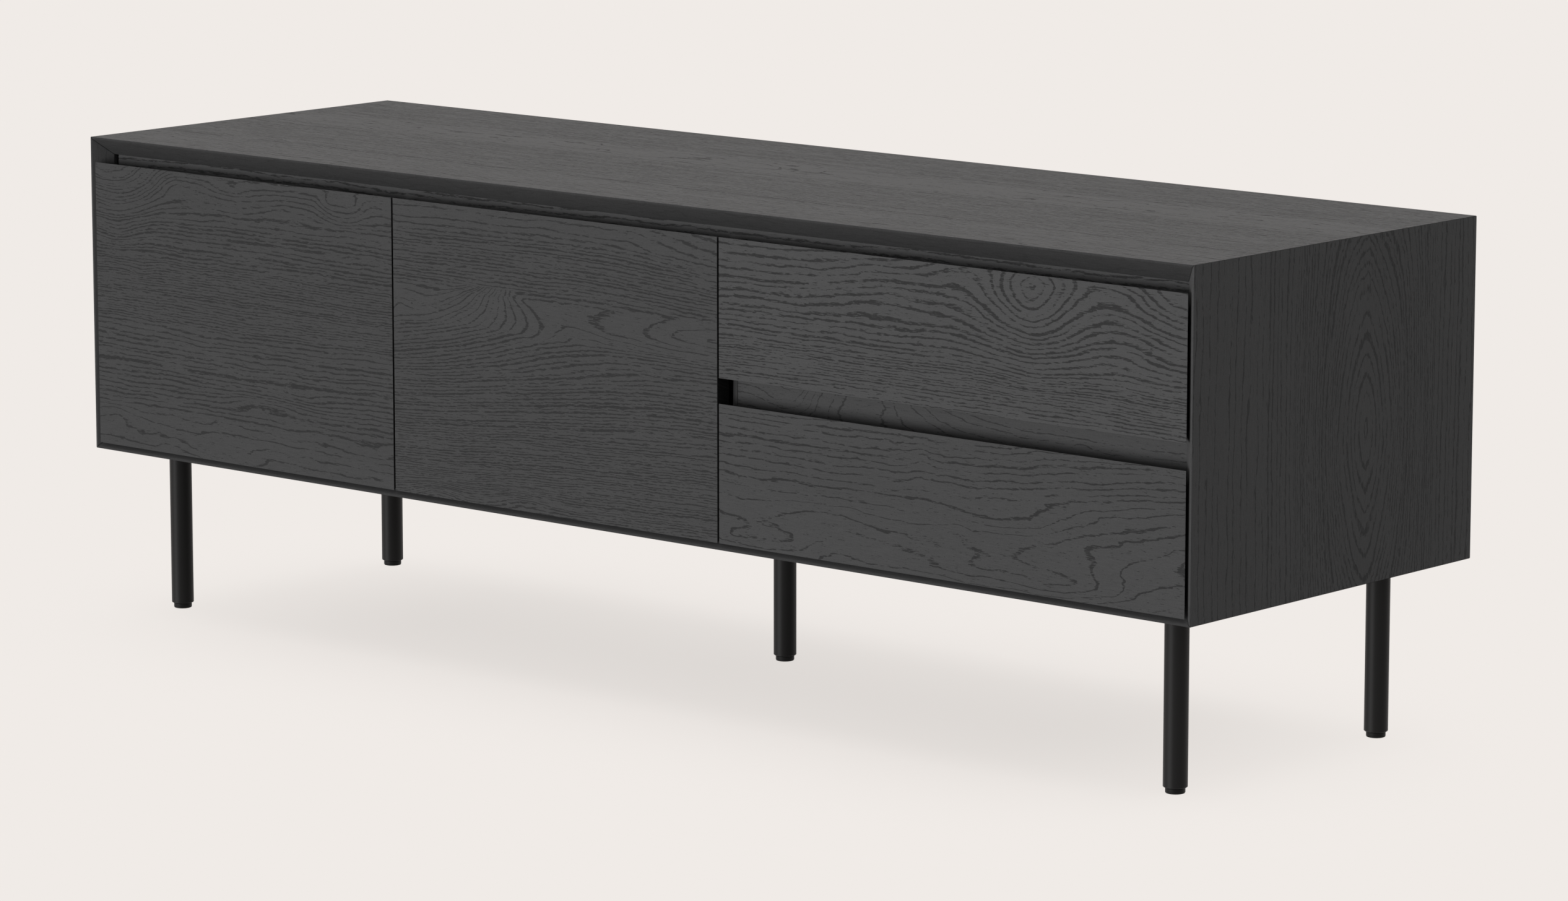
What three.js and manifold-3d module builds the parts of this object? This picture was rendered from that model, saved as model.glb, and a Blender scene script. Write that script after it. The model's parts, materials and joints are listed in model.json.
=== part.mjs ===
// Low sideboard on five tube legs: two doors over one shelf at the left, two drawers at the right.
// Millimetres, +Z up, front towards -Y. The origin is on the floor, under the middle of the case.

import * as THREE from 'three';
import { mergeVertices } from 'three/addons/utils/BufferGeometryUtils.js';
import Module from 'manifold-3d';

const wasm = await Module();
wasm.setup();

// Case
const WIDTH = 1500;             // over the two side panels
const DEPTH = 456;              // from the front lip to the rear edges
const CASE_HEIGHT = 342;        // from the underside to the top face
const BOARD = 19;               // thickness of a case board
const LIP = 2;                  // flat front edge of a case board, in front of its bevel
const PARTITION = 18;           // thickness of the partition
const PARTITION_X = 910;        // middle of the partition, from the left outer face
const PARTITION_LIP = 5.3;      // flat of its front edge at the right, beside a 45 degree bevel
const BACK = 6;                 // thickness of the back panel
const BACK_INSET = 10;          // from the rear edges to the back panel
const RAIL_HEIGHT = 40;
const RAIL_DEPTH = 18;
const RAIL_END_SLOT = 4.5;      // open slot at the left end of the top rail
const SHELF = 16;
const SHELF_Z = 150;            // underside of the shelf
const SHELF_SETBACK = 50;       // from the front lip to the shelf's front edge

// Doors and drawer fronts
const FRONT = 18;               // thickness of a front
const REVEAL = 6.7;             // from the case's outer face to the edge of a front
const SEAM = 2;                 // between neighbouring fronts
const GRIP = 27;                // from the top face down to the upper edge of the fronts
const RECESS = 25.5;            // finger recess between the two drawer fronts
const BEHIND_FRONTS = 1;        // from the back of the fronts to the rails and the partition

// Legs and levelling feet
const LEG_HEIGHT = 179;         // from the floor to the underside of the case
const LEG_RADIUS = 12;
const LEG_WALL = 1.5;
const LEG_PLUG = 14;            // threaded insert in the lower end of the tube
const LEG_CAP = 3;              // welded cap at the upper end
const LEG_INSET = 64.5;         // from the case's outer faces to the axis of a corner leg
const MIDDLE_LEG_Y = 285;       // from the front lip to the axis of the middle leg
const STUD_RADIUS = 4;          // stud on the leg, and stem of the foot
const STUD_LENGTH = 13;
const FOOT_RADIUS = 9.75;
const FOOT_HEIGHT = 6;
const FOOT_EDGE = 1;            // bevel at the foot's lower rim
const FOOT_STEM = 26;

// Drawers
const BOX_HEIGHT = 91;
const BOX_TO_BACK = 41.7;       // from the box to the case's back panel
const BOX_SIDE = 12;
const BOX_BOTTOM = 6;
const BOTTOM_RISE = 8;          // from the lower edge of the box to its bottom panel
const GROOVE = 5;               // depth of the groove that holds the bottom panel
const BOX_ABOVE_RAIL = 3;
const LOWER_BOX_RISE = 1.3;     // from the flat of the front's back face to the lower box

// Telescopic slides, one each side of a drawer
const SLIDE_SPACE = 12.7;       // between the carcass and the drawer box
const SLIDE_START = 24;         // from the front lip to the front end of the closed slide
const SLIDE_TO_BOX_END = 24.3;  // from the rear end of the closed slide to that of the box
const SLIDE_HEIGHT = 35;
const SLIDE_STEEL = 1.2;
const SLIDE_REACH = 9;          // of the outer and middle members' flanges from the carcass
const SLIDE_CAGE = 4;           // middle member's flange with its cage of balls
const SLIDE_RUNNING = 0.4;      // between two members

// Concealed hinges, two on each door
const HINGE_SPREAD = 170;       // between the two hinges of a door
const AXIS_AHEAD = 1;           // the door turns about a line this far ahead of its face
const LEFT_AXIS_OUT = 1.7;      // and this far outside its hinged edge
const MIDDLE_AXIS_IN = 0.4;     // on the middle door, this far inside the seam
const CUP_RADIUS = 17.5;
const CUP_DEPTH = 12;
const CUP_WALL = 1;
const CUP_PROUD = 1.5;          // rim and wings of the cup above the door's back face
const CUP_RIM_WOOD = 4;         // wood left between the cup and the nearest edge
const CUP_WING = 27;            // from the cup's middle to the end of a wing
const CUP_WING_WIDTH = 12;
const CUP_PIVOT_DEPTH = 7;      // from the door's back face to the pivot in the cup
const CUP_PIVOT_SHIFT = 1.5;    // from the cup's middle to the pivot, away from the panel
const ARM_PIVOT_OUT = 12;       // from the panel to the pivot in the arm
const ARM_PIVOT_BEHIND = 26;    // from the front lip to the pivot in the arm
const PIVOT_RADIUS = 1.75;
const PIVOT_CLEARANCE = 0.3;
const ARM_LINK_RADIUS = 4.5;
const ARM_LINK_HEIGHT = 15;
const ARM_LINK_SLOT = 21;       // length of the fork that holds the cup link
const CUP_LINK_RADIUS = 3.6;
const CUP_LINK_HEIGHT = 10.8;
const EAR = 1.5;                // thickness of the arm's ears
const ARM_BLOCK = { start: 36, end: 60, out: 17 };
const ARM_PLATE = { start: 33, end: 66, height: 40, thick: 2 };
const SCREW = { radius: 3.5, head: 1.5, from_middle: 14.5, behind: 48 };

const JOINT_GAP = 0.3;          // between pieces that are glued, screwed or laid together

// Places that follow from the sizes above. In the cabinet group x runs from the left outer face,
// y from the front lip backwards and z from the underside of the case.
const INNER_TOP = CASE_HEIGHT - BOARD;
const INNER_RIGHT = WIDTH - BOARD;
const BACK_FACE = DEPTH - BACK_INSET - BACK;
const RAIL_Y = FRONT + BEHIND_FRONTS;
const PARTITION_LEFT = PARTITION_X - PARTITION / 2;
const PARTITION_RIGHT = PARTITION_X + PARTITION / 2;
const FRONTS_TOP = CASE_HEIGHT - GRIP;
const DOOR_SEAM = (PARTITION_X - SEAM / 2 + REVEAL) / 2;
const DRAWER_FRONT = (FRONTS_TOP - REVEAL - RECESS) / 2;
const LOWER_FRONT_TOP = REVEAL + DRAWER_FRONT;
const UPPER_FRONT_BASE = LOWER_FRONT_TOP + RECESS;
const RAIL_Z = (LOWER_FRONT_TOP + UPPER_FRONT_BASE - RAIL_HEIGHT) / 2;
const HINGE_MIDDLE = (REVEAL + FRONTS_TOP) / 2;
const BOX_START = FRONT + JOINT_GAP;
const BOX_END = BACK_FACE - BOX_TO_BACK;
const SLIDE_LENGTH = BOX_END - SLIDE_TO_BOX_END - SLIDE_START;

const oak = new THREE.MeshStandardMaterial({ color: 0x4a4949, roughness: 0.6, metalness: 0 });
const dark_oak = new THREE.MeshStandardMaterial({ color: 0x3a3939, roughness: 0.65, metalness: 0 });
const box_wood = new THREE.MeshStandardMaterial({ color: 0x444343, roughness: 0.7, metalness: 0 });
const black_steel = new THREE.MeshStandardMaterial({ color: 0x262626, roughness: 0.45, metalness: 0.3 });
const zinc = new THREE.MeshStandardMaterial({ color: 0xa9acae, roughness: 0.35, metalness: 1 });
const nickel = new THREE.MeshStandardMaterial({ color: 0xb9b7b1, roughness: 0.3, metalness: 1 });
const black_plastic = new THREE.MeshStandardMaterial({ color: 0x161616, roughness: 0.6, metalness: 0 });

const cabinet = new THREE.Group();
cabinet.position.set(-WIDTH / 2, -DEPTH / 2, LEG_HEIGHT);

function add(name, geometry, material) {
  const mesh = new THREE.Mesh(geometry, material);
  mesh.name = name;
  cabinet.add(mesh);
  return mesh;
}

// A square-edged board between two limits on each axis.
function board(name, material, [x0, x1], [y0, y1], [z0, z1]) {
  const mesh = add(name, new THREE.BoxGeometry(x1 - x0, y1 - y0, z1 - z0), material);
  mesh.position.set((x0 + x1) / 2, (y0 + y1) / 2, (z0 + z1) / 2);
  return mesh;
}

// A shape extruded along its third axis, from `start`.
function prism(shape, start, length) {
  const geometry = new THREE.ExtrudeGeometry(shape, { depth: length, bevelEnabled: false, curveSegments: 8 });
  return geometry.translate(0, 0, start);
}

function outline(points) {
  return new THREE.Shape(points.map(([u, v]) => new THREE.Vector2(u, v)));
}

// A rod along Z between two heights.
function rod(x, y, radius, z0, z1, sides = 12) {
  const geometry = new THREE.CylinderGeometry(radius, radius, z1 - z0, sides).rotateX(Math.PI / 2);
  return geometry.translate(x, y, (z0 + z1) / 2);
}

function cuboid([x0, x1], [y0, y1], [z0, z1]) {
  const geometry = new THREE.BoxGeometry(Math.abs(x1 - x0), y1 - y0, z1 - z0);
  return geometry.translate((x0 + x1) / 2, (y0 + y1) / 2, (z0 + z1) / 2);
}

// A turned piece: its profile is given as radius and height, from axis to axis or closed.
function turned(profile, sides) {
  const points = profile.map(([radius, height]) => new THREE.Vector2(radius, height));
  return new THREE.LatheGeometry(points, sides).rotateX(Math.PI / 2);
}

// A closed geometry as a solid that can be joined and cut.
function solid(geometry) {
  const bare = geometry.clone();
  bare.deleteAttribute('normal');
  bare.deleteAttribute('uv');
  const merged = mergeVertices(bare, 1e-3);
  const corners = merged.index.array;
  const kept = [];
  for (let i = 0; i < corners.length; i += 3) {
    const [a, b, c] = corners.slice(i, i + 3);
    if (a !== b && b !== c && c !== a) kept.push(a, b, c);
  }
  const vertProperties = new Float32Array(merged.attributes.position.array);
  return new wasm.Manifold(new wasm.Mesh({ numProp: 3, vertProperties, triVerts: new Uint32Array(kept) }));
}

function joined(...geometries) {
  return geometries.map(solid).reduce((whole, piece) => whole.add(piece));
}

function surface(whole) {
  const mesh = whole.getMesh();
  const geometry = new THREE.BufferGeometry();
  geometry.setAttribute('position', new THREE.BufferAttribute(mesh.vertProperties, 3));
  geometry.setIndex(new THREE.BufferAttribute(mesh.triVerts, 1));
  geometry.computeVertexNormals();
  return geometry;
}

// A case board: its outer face looks along +Z, its front lip is at y 0 and its front inner edge is
// bevelled at 45 degrees. Both ends are mitred, and stop a hair short of the neighbour.
function case_board(length) {
  const section = outline([[0, 0], [0, -LIP], [BOARD - LIP, -BOARD], [DEPTH, -BOARD], [DEPTH, 0]]);
  const geometry = prism(section, 0, length);
  const along_x = new THREE.Matrix4().makeBasis(
    new THREE.Vector3(0, 1, 0), new THREE.Vector3(0, 0, 1), new THREE.Vector3(1, 0, 0));
  geometry.applyMatrix4(along_x).translate(-length / 2, 0, 0);
  const place = geometry.attributes.position;
  for (let i = 0; i < place.count; i += 1) {
    const end = length / 2 + place.getZ(i) - JOINT_GAP * Math.SQRT1_2;
    place.setX(i, Math.sign(place.getX(i)) * end);
  }
  return geometry;
}

function case_boards() {
  add('top_panel', case_board(WIDTH), oak).position.set(WIDTH / 2, 0, CASE_HEIGHT);
  const right = add('right_side_panel', case_board(CASE_HEIGHT), oak);
  right.rotation.y = Math.PI / 2;
  right.position.set(WIDTH, 0, CASE_HEIGHT / 2);
  const left = add('left_side_panel', case_board(CASE_HEIGHT), oak);
  left.rotation.y = -Math.PI / 2;
  left.position.set(0, 0, CASE_HEIGHT / 2);

  const flipped = case_board(WIDTH).rotateZ(Math.PI).rotateX(Math.PI).translate(WIDTH / 2, 0, 0);
  const holes = leg_places().map(([x, y]) =>
    solid(rod(x, y, STUD_RADIUS + JOINT_GAP, -BOARD, STUD_LENGTH + 2 * JOINT_GAP, 16)));
  add('bottom_panel', surface(holes.reduce((whole, hole) => whole.subtract(hole), solid(flipped))), oak);
}

// The corner legs go round from the front left, and the fifth stands behind the middle.
function leg_places() {
  return [
    [LEG_INSET, LEG_INSET], [WIDTH - LEG_INSET, LEG_INSET],
    [LEG_INSET, DEPTH - LEG_INSET], [WIDTH - LEG_INSET, DEPTH - LEG_INSET],
    [WIDTH / 2, MIDDLE_LEG_Y],
  ];
}

function inner_boards() {
  const gap = JOINT_GAP;
  const above_floor = BOARD + gap;
  const under_top = INNER_TOP - gap;
  board('back_panel', dark_oak, [BOARD + gap, INNER_RIGHT - gap], [BACK_FACE, BACK_FACE + BACK],
    [above_floor, under_top]);

  const rail_back = RAIL_Y + RAIL_DEPTH;
  const notch_base = INNER_TOP - RAIL_HEIGHT - gap;
  const rear = BACK_FACE - gap;
  const side_view = outline([
    [RAIL_Y, above_floor], [rear, above_floor], [rear, under_top],
    [rail_back + gap, under_top], [rail_back + gap, notch_base], [RAIL_Y, notch_base],
  ]);
  const along_x = new THREE.Matrix4().makeBasis(
    new THREE.Vector3(0, 1, 0), new THREE.Vector3(0, 0, 1), new THREE.Vector3(1, 0, 0));
  const bevel = PARTITION - PARTITION_LIP;
  const corner = outline([
    [-bevel, RAIL_Y - bevel], [2 * bevel, RAIL_Y - bevel], [-bevel, RAIL_Y + 2 * bevel],
  ]);
  const partition = solid(prism(side_view, 0, PARTITION).applyMatrix4(along_x))
    .subtract(solid(prism(corner, 0, CASE_HEIGHT)));
  add('partition', surface(partition), dark_oak).position.set(PARTITION_LEFT, 0, 0);

  board('top_rail', oak, [BOARD + RAIL_END_SLOT, INNER_RIGHT - gap], [RAIL_Y, rail_back],
    [INNER_TOP - RAIL_HEIGHT, under_top]);
  board('drawer_rail', oak, [PARTITION_RIGHT + gap, INNER_RIGHT - gap], [RAIL_Y, rail_back],
    [RAIL_Z, RAIL_Z + RAIL_HEIGHT]);
  board('shelf', dark_oak, [BOARD + gap, PARTITION_LEFT - gap], [SHELF_SETBACK, rear],
    [SHELF_Z, SHELF_Z + SHELF]);
}

function legs_and_feet() {
  const top = LEG_HEIGHT - JOINT_GAP;
  const bore = STUD_RADIUS + JOINT_GAP;
  const inside = LEG_RADIUS - LEG_WALL;
  const leg = turned([
    [0, top + STUD_LENGTH], [STUD_RADIUS, top + STUD_LENGTH], [STUD_RADIUS, top], [LEG_RADIUS, top],
    [LEG_RADIUS, FOOT_HEIGHT], [bore, FOOT_HEIGHT], [bore, FOOT_HEIGHT + LEG_PLUG],
    [inside, FOOT_HEIGHT + LEG_PLUG], [inside, top - LEG_CAP], [0, top - LEG_CAP],
  ].reverse(), 24);
  const foot_top = FOOT_HEIGHT - JOINT_GAP;
  const foot = turned([
    [0, 0], [FOOT_RADIUS - FOOT_EDGE, 0], [FOOT_RADIUS, FOOT_EDGE], [FOOT_RADIUS, foot_top],
    [STUD_RADIUS, foot_top], [STUD_RADIUS, foot_top + FOOT_STEM], [0, foot_top + FOOT_STEM],
  ], 20);
  const names = ['front_left', 'front_right', 'rear_left', 'rear_right', 'middle'];
  leg_places().forEach(([x, y], i) => {
    add(`${names[i]}_leg`, leg.clone(), black_steel).position.set(x, y, -LEG_HEIGHT);
    add(`${names[i]}_foot`, foot.clone(), black_plastic).position.set(x, y, -LEG_HEIGHT);
  });
}

// A front: its face lies at y 0, and each edge named in `bevelled` leads inwards at 45 degrees.
function front_geometry([x0, x1], [z0, z1], bevelled) {
  const geometry = cuboid([x0, x1], [0, FRONT], [z0, z1]);
  const place = geometry.attributes.position;
  const middle_x = (x0 + x1) / 2;
  const middle_z = (z0 + z1) / 2;
  for (let i = 0; i < place.count; i += 1) {
    if (place.getY(i) < FRONT / 2) continue;
    const side = place.getX(i) < middle_x ? 'left' : 'right';
    const end = place.getZ(i) < middle_z ? 'bottom' : 'top';
    if (bevelled.includes(side)) place.setX(i, place.getX(i) + (side === 'left' ? FRONT : -FRONT));
    if (bevelled.includes(end)) place.setZ(i, place.getZ(i) + (end === 'bottom' ? FRONT : -FRONT));
  }
  return geometry;
}

// A flat bar with round ends about two points.
function bar(from, to, radius) {
  const turn = Math.atan2(to[1] - from[1], to[0] - from[0]);
  const shape = new THREE.Shape();
  shape.absarc(to[0], to[1], radius, turn - Math.PI / 2, turn + Math.PI / 2);
  shape.absarc(from[0], from[1], radius, turn + Math.PI / 2, turn + Math.PI * 1.5);
  shape.closePath();
  return shape;
}

// One concealed hinge. `into` is +1 where the door's body lies towards +X of its carrying panel.
// The door turns about the upright line `axis`. The arm link turns with the door about a pivot in
// the arm, and the cup link keeps its direction, so its pivots move as the corners of a parallelogram.
function hinge(name, height, face, into, axis, cup_x) {
  const from_face = (distance) => face + into * distance;
  const arm_pivot = [from_face(ARM_PIVOT_OUT), ARM_PIVOT_BEHIND];
  const cup_pivot = [cup_x + into * CUP_PIVOT_SHIFT, FRONT - CUP_PIVOT_DEPTH];
  const knuckle = [arm_pivot[0] + cup_pivot[0] - axis[0], arm_pivot[1] + cup_pivot[1] - axis[1]];
  const bore = PIVOT_RADIUS + PIVOT_CLEARANCE;
  const link_half = ARM_LINK_HEIGHT / 2;
  const inner_half = CUP_LINK_HEIGHT / 2;
  const ear_in = link_half + JOINT_GAP;
  const ear_out = ear_in + EAR;
  const pin = ([x, y], half) => rod(x, y, PIVOT_RADIUS, -half, half);
  const hole = ([x, y]) => solid(rod(x, y, bore, -2 * CUP_RADIUS, 2 * CUP_RADIUS));

  const plate = [from_face(JOINT_GAP), from_face(JOINT_GAP + ARM_PLATE.thick)];
  const screw_x = JOINT_GAP + ARM_PLATE.thick + SCREW.head / 2;
  const screws = [-1, 1].map((side) => new THREE.CylinderGeometry(SCREW.radius, SCREW.radius, SCREW.head + 1, 12)
    .rotateZ(Math.PI / 2)
    .translate(from_face(screw_x), SCREW.behind, side * SCREW.from_middle));
  const ear = bar(arm_pivot, [arm_pivot[0], ARM_BLOCK.start + ARM_LINK_RADIUS], ARM_LINK_RADIUS);
  const arm = joined(
    cuboid(plate, [ARM_PLATE.start, ARM_PLATE.end], [-ARM_PLATE.height / 2, ARM_PLATE.height / 2]),
    cuboid([from_face(JOINT_GAP + ARM_PLATE.thick / 2), from_face(ARM_BLOCK.out)],
      [ARM_BLOCK.start, ARM_BLOCK.end], [-ear_out, ear_out]),
    prism(ear, -ear_out, EAR), prism(ear, ear_in, EAR), pin(arm_pivot, ear_out + EAR / 2), ...screws);

  const reach = Math.hypot(knuckle[0] - arm_pivot[0], knuckle[1] - arm_pivot[1]);
  const lean = Math.atan2(knuckle[1] - arm_pivot[1], knuckle[0] - arm_pivot[0]);
  const slot_half = inner_half + JOINT_GAP;
  const slot = cuboid([reach - ARM_LINK_SLOT, reach + ARM_LINK_SLOT],
    [-2 * ARM_LINK_RADIUS, 2 * ARM_LINK_RADIUS], [-slot_half, slot_half])
    .rotateZ(lean).translate(arm_pivot[0], arm_pivot[1], 0);
  const arm_link = solid(prism(bar(arm_pivot, knuckle, ARM_LINK_RADIUS), -link_half, ARM_LINK_HEIGHT))
    .subtract(solid(slot)).add(solid(pin(knuckle, link_half))).subtract(hole(arm_pivot));

  const cup_link = solid(prism(bar(cup_pivot, knuckle, CUP_LINK_RADIUS), -inner_half, CUP_LINK_HEIGHT))
    .subtract(hole(cup_pivot)).subtract(hole(knuckle));

  const inside = CUP_RADIUS - CUP_WALL;
  const dish = turned([
    [0, 0], [CUP_RADIUS, 0], [CUP_RADIUS, CUP_DEPTH + CUP_PROUD], [inside, CUP_DEPTH + CUP_PROUD],
    [inside, CUP_WALL], [0, CUP_WALL],
  ], 24).rotateX(-Math.PI / 2).translate(cup_x, FRONT - CUP_DEPTH, 0);
  const wing_start = Math.sqrt(inside ** 2 - (CUP_WING_WIDTH / 2) ** 2) + CUP_WALL / 2;
  const wings = [-1, 1].map((side) => cuboid(
    [cup_x - CUP_WING_WIDTH / 2, cup_x + CUP_WING_WIDTH / 2], [FRONT + JOINT_GAP, FRONT + CUP_PROUD],
    [Math.min(side * wing_start, side * CUP_WING), Math.max(side * wing_start, side * CUP_WING)]));
  const cup = joined(dish, ...wings, pin(cup_pivot, inside + CUP_WALL / 2));

  const parts = { arm, arm_link, cup_link, cup };
  for (const [part, whole] of Object.entries(parts)) {
    add(`${name}_${part}`, surface(whole), nickel).position.z = height;
  }
}

// A door with its two hinges, carried by the panel whose inner face is at `face`.
function door(name, [x0, x1], bevelled, face, into, axis) {
  const edge = into > 0 ? x0 : x1;
  const flat = bevelled.includes(into > 0 ? 'left' : 'right') ? edge + into * FRONT : edge;
  const nearest = into * Math.max(into * flat, into * face);
  const cup_x = nearest + into * (CUP_RIM_WOOD + CUP_RADIUS);
  const heights = { lower: HINGE_MIDDLE - HINGE_SPREAD / 2, upper: HINGE_MIDDLE + HINGE_SPREAD / 2 };
  const leaf = solid(front_geometry([x0, x1], [REVEAL, FRONTS_TOP], bevelled));
  const bore = rod(0, 0, CUP_RADIUS + JOINT_GAP, FRONT - CUP_DEPTH - JOINT_GAP, 2 * FRONT, 24)
    .rotateX(-Math.PI / 2);
  const cut = Object.values(heights).reduce((whole, z) =>
    whole.subtract(solid(bore.clone().translate(cup_x, 0, z))), leaf);
  add(name, surface(cut), oak);
  for (const [place, z] of Object.entries(heights)) {
    hinge(`${name}_${place}_hinge`, z, face, into, axis, cup_x);
  }
}

function doors() {
  const hinged_right = PARTITION_X - SEAM / 2;
  door('left_door', [REVEAL, DOOR_SEAM - SEAM / 2], ['left', 'bottom', 'top'],
    BOARD, 1, [REVEAL - LEFT_AXIS_OUT, -AXIS_AHEAD]);
  door('middle_door', [DOOR_SEAM + SEAM / 2, hinged_right], ['bottom', 'top'],
    PARTITION_LEFT, -1, [hinged_right + MIDDLE_AXIS_IN, -AXIS_AHEAD]);
}

// A slide member's section, as distances from the carcass and from the slide's middle height.
function channel(web, reach, half, wall, flange) {
  return [
    [web, -half], [reach, -half], [reach, -half + flange], [web + wall, -half + flange],
    [web + wall, half - flange], [reach, half - flange], [reach, half], [web, half],
  ];
}

function slide(name, carcass, into, height) {
  const half = SLIDE_HEIGHT / 2;
  const middle_web = JOINT_GAP + SLIDE_STEEL + SLIDE_RUNNING;
  const middle_half = half - SLIDE_STEEL - SLIDE_RUNNING;
  const inner_half = middle_half - SLIDE_CAGE - SLIDE_RUNNING;
  const inner_web = SLIDE_SPACE - JOINT_GAP;
  const inner_reach = middle_web + SLIDE_STEEL + SLIDE_RUNNING;
  const members = {
    outer_member: channel(JOINT_GAP, SLIDE_REACH, half, SLIDE_STEEL, SLIDE_STEEL),
    middle_member: channel(middle_web, SLIDE_REACH, middle_half, SLIDE_STEEL, SLIDE_CAGE),
    inner_member: channel(inner_web, inner_reach, inner_half, -SLIDE_STEEL, SLIDE_STEEL),
  };
  for (const [member, section] of Object.entries(members)) {
    const across = outline(section.map(([out, up]) => [carcass + into * out, up]));
    const geometry = prism(across, -SLIDE_LENGTH, SLIDE_LENGTH).rotateX(Math.PI / 2);
    add(`${name}_${member}`, geometry, zinc).position.set(0, SLIDE_START, height);
  }
}

// A drawer: a front that overlaps the case, and a box of four boards on two slides.
function drawer(name, [front_base, front_top], bevelled, base) {
  const right_edge = WIDTH - REVEAL;
  const face = [PARTITION_X + SEAM / 2, right_edge];
  add(`${name}_front`, front_geometry(face, [front_base, front_top], bevelled), oak);

  const left = PARTITION_RIGHT + SLIDE_SPACE;
  const right = INNER_RIGHT - SLIDE_SPACE;
  const groove_low = BOTTOM_RISE - JOINT_GAP;
  const groove_high = BOTTOM_RISE + BOX_BOTTOM + JOINT_GAP;
  const groove = BOX_SIDE - GROOVE;
  const section = [
    [0, 0], [BOX_SIDE, 0], [BOX_SIDE, groove_low], [groove, groove_low], [groove, groove_high],
    [BOX_SIDE, groove_high], [BOX_SIDE, BOX_HEIGHT], [0, BOX_HEIGHT],
  ];
  for (const [side, outer, into] of [['left', left, 1], ['right', right, -1]]) {
    const across = outline(section.map(([out, up]) => [outer + into * out, up]));
    const geometry = prism(across, BOX_START - BOX_END, BOX_END - BOX_START).rotateX(Math.PI / 2);
    add(`${name}_${side}_side`, geometry, box_wood).position.set(0, BOX_START, base);
  }
  const floor = base + BOTTOM_RISE;
  const above = floor + BOX_BOTTOM + JOINT_GAP;
  board(`${name}_back`, box_wood, [left + BOX_SIDE + JOINT_GAP, right - BOX_SIDE - JOINT_GAP],
    [BOX_END - BOX_SIDE, BOX_END], [above, base + BOX_HEIGHT]);
  board(`${name}_bottom`, box_wood, [left + groove + JOINT_GAP, right - groove - JOINT_GAP],
    [BOX_START + JOINT_GAP, BOX_END], [floor, floor + BOX_BOTTOM]);

  const height = base + BOX_HEIGHT / 2;
  slide(`${name}_left_slide`, PARTITION_RIGHT, 1, height);
  slide(`${name}_right_slide`, INNER_RIGHT, -1, height);
}

case_boards();
inner_boards();
legs_and_feet();
doors();
drawer('upper_drawer', [UPPER_FRONT_BASE, FRONTS_TOP], ['right', 'top'],
  RAIL_Z + RAIL_HEIGHT + BOX_ABOVE_RAIL);
drawer('lower_drawer', [REVEAL, LOWER_FRONT_TOP], ['right', 'bottom', 'top'],
  REVEAL + FRONT + LOWER_BOX_RISE);

const group = new THREE.Group();
group.add(cabinet);
export default group;
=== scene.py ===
"""The finish of a low black oak sideboard, laid out as an add-on and run as a script.

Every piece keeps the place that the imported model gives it, in metres, with its front towards -Y.
"""

import json
import math

import bmesh
import bpy
from bpy.props import FloatProperty, FloatVectorProperty, IntProperty, PointerProperty
from bpy.types import Operator, Panel, PropertyGroup
from mathutils import Matrix, Vector

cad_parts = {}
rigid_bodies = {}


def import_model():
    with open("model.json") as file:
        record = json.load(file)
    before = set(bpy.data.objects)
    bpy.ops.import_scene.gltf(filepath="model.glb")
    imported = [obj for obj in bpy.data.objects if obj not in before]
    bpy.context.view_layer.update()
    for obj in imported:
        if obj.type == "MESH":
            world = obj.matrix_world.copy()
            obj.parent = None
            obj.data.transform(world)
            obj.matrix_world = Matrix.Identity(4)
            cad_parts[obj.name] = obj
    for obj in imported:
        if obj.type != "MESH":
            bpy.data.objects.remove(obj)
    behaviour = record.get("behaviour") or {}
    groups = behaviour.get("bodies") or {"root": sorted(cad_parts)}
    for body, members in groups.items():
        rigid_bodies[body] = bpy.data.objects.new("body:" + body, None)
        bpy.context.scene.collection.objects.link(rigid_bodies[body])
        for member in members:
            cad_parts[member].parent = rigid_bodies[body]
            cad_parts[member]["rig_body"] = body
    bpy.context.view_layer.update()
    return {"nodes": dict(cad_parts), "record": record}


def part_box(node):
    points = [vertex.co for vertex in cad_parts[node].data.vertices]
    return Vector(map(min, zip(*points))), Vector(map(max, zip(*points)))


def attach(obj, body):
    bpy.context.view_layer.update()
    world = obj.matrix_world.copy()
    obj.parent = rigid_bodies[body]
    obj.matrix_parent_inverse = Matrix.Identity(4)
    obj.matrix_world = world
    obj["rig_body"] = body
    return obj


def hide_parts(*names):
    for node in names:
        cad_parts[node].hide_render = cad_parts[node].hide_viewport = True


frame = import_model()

bl_info = {
    "name": "Black oak sideboard",
    "version": (1, 0, 0),
    "blender": (4, 5, 0),
    "location": "View3D > Sidebar > Sideboard",
    "description": "Veneered case, doors, drawers, tube legs and fittings of a low sideboard",
    "category": "Object",
}

MM = 0.001
UP = (0, 0, 1)
BACKWARDS = (0, 1, 0)
CASE_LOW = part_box("bottom_panel")[0]
LEGS = ("front_left", "front_right", "rear_left", "rear_right", "middle")
DOORS = {"left_door": 1, "middle_door": -1}  # and the way along X from its hinged edge to its middle
DRAWERS = ("upper_drawer", "lower_drawer")
SIDES = {"left": -1, "right": 1}  # and the way along X from the middle of a drawer

# legs and feet, in metres
LEG_GAP = 0.3 * MM  # between the tube's welded cap and the case
LEG_CAP = 3.0 * MM
LEG_WALL = 1.5 * MM
LEG_PLUG = 14.0 * MM  # length of the threaded plug in the lower end
LEG_BORE = 4.3 * MM  # radius of the plug's bore
LEG_SOFT = 0.6 * MM  # eased lower rim
FOOT_STEM = 4.0 * MM  # radius of the threaded stem
FOOT_RIM = 5.7 * MM  # height of the foot below its stem
FOOT_ROUND = 1.2 * MM  # rounding of its lower edge
FOOT_SOFT = 0.6 * MM  # eased upper edge

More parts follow.
